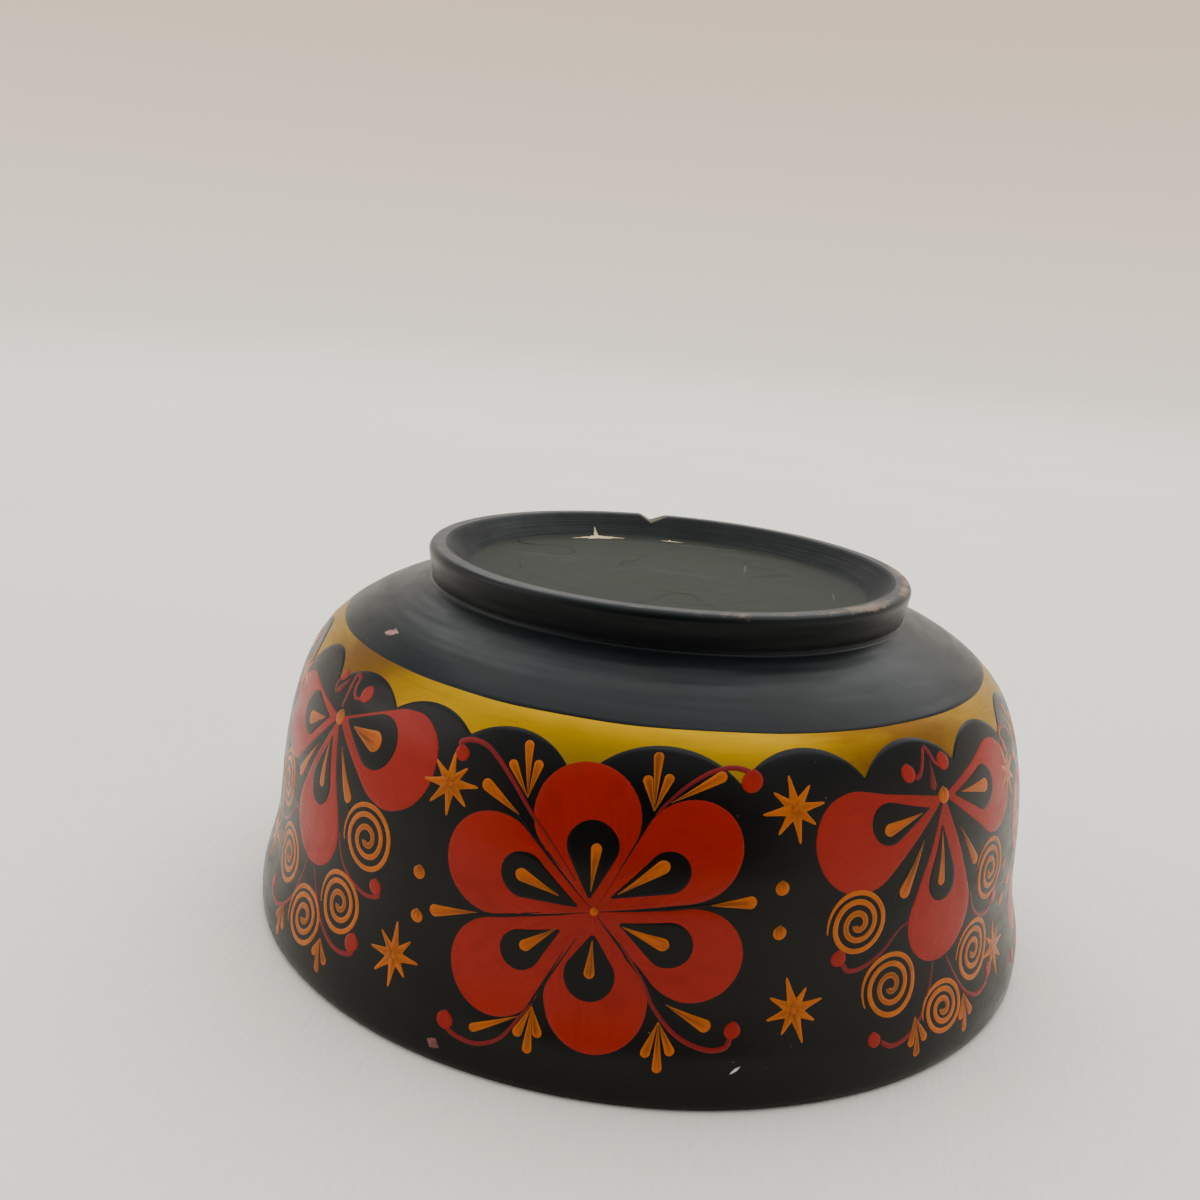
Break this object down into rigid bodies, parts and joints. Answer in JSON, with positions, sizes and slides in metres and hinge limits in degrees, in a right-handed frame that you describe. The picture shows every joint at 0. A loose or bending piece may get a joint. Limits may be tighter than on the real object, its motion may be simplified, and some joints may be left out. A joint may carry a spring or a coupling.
{
  "type": "painted bowl",
  "caption": "Round turned wooden bowl resting on its mouth, foot ring up, black lacquer with a scalloped gold band, red six-petalled flowers, ochre spirals and stars.",
  "frame": {"origin": "centre of the mouth rim's circle, on the flat land that the bowl stands on, which is the middle of the bottom of the bounding box", "axes": "+Z is the turning axis, up from the mouth to the foot ring: the bowl is stored upside down, as the picture shows it; -Y is the front, with a full flower on it; +X is to the right seen from the front"},
  "size_m": [0.1504, 0.1504, 0.0707],
  "materials": {
    "linden_wood": "turned, raw where chipped or worn",
    "clay_primer": "matt, hidden under the finish",
    "gold_ground": "metallised ground under amber lacquer, gloss",
    "black_lacquer": "gloss lacquer",
    "red_paint": "oil paint under gloss lacquer",
    "ochre_paint": "oil paint under gloss lacquer"
  },
  "bodies": {
    "root": {"black_foot_coat": "black_lacquer", "black_wall_field": "black_lacquer", "clay_primer_inside": "clay_primer", "clay_primer_outside": "clay_primer", "gold_ground": "gold_ground", "gold_lining": "gold_ground", "half_flower_back_left_bud": "red_paint", "half_flower_back_left_petals": "red_paint", "half_flower_back_left_spirals": "ochre_paint", "half_flower_back_left_strokes": "ochre_paint", "half_flower_back_left_tendrils": "red_paint", "half_flower_back_right_bud": "red_paint", "half_flower_back_right_petals": "red_paint", "half_flower_back_right_spirals": "ochre_paint", "half_flower_back_right_strokes": "ochre_paint", "half_flower_back_right_tendrils": "red_paint", "half_flower_front_left_bud": "red_paint", "half_flower_front_left_petals": "red_paint", "half_flower_front_left_spirals": "ochre_paint", "half_flower_front_left_strokes": "ochre_paint", "half_flower_front_left_tendrils": "red_paint", "half_flower_front_right_bud": "red_paint", "half_flower_front_right_petals": "red_paint", "half_flower_front_right_spirals": "ochre_paint", "half_flower_front_right_strokes": "ochre_paint", "half_flower_front_right_tendrils": "red_paint", "rosette_back_petals": "red_paint", "rosette_back_strokes": "ochre_paint", "rosette_back_tendrils": "red_paint", "rosette_front_petals": "red_paint", "rosette_front_strokes": "ochre_paint", "rosette_front_tendrils": "red_paint", "rosette_left_petals": "red_paint", "rosette_left_strokes": "ochre_paint", "rosette_left_tendrils": "red_paint", "rosette_right_petals": "red_paint", "rosette_right_strokes": "ochre_paint", "rosette_right_tendrils": "red_paint", "stars_back_left": "ochre_paint", "stars_back_right": "ochre_paint", "stars_front_left": "ochre_paint", "stars_front_right": "ochre_paint", "stars_left_left": "ochre_paint", "stars_left_right": "ochre_paint", "stars_right_left": "ochre_paint", "stars_right_right": "ochre_paint", "turned_body": "linden_wood"}
  },
  "joints": []
}
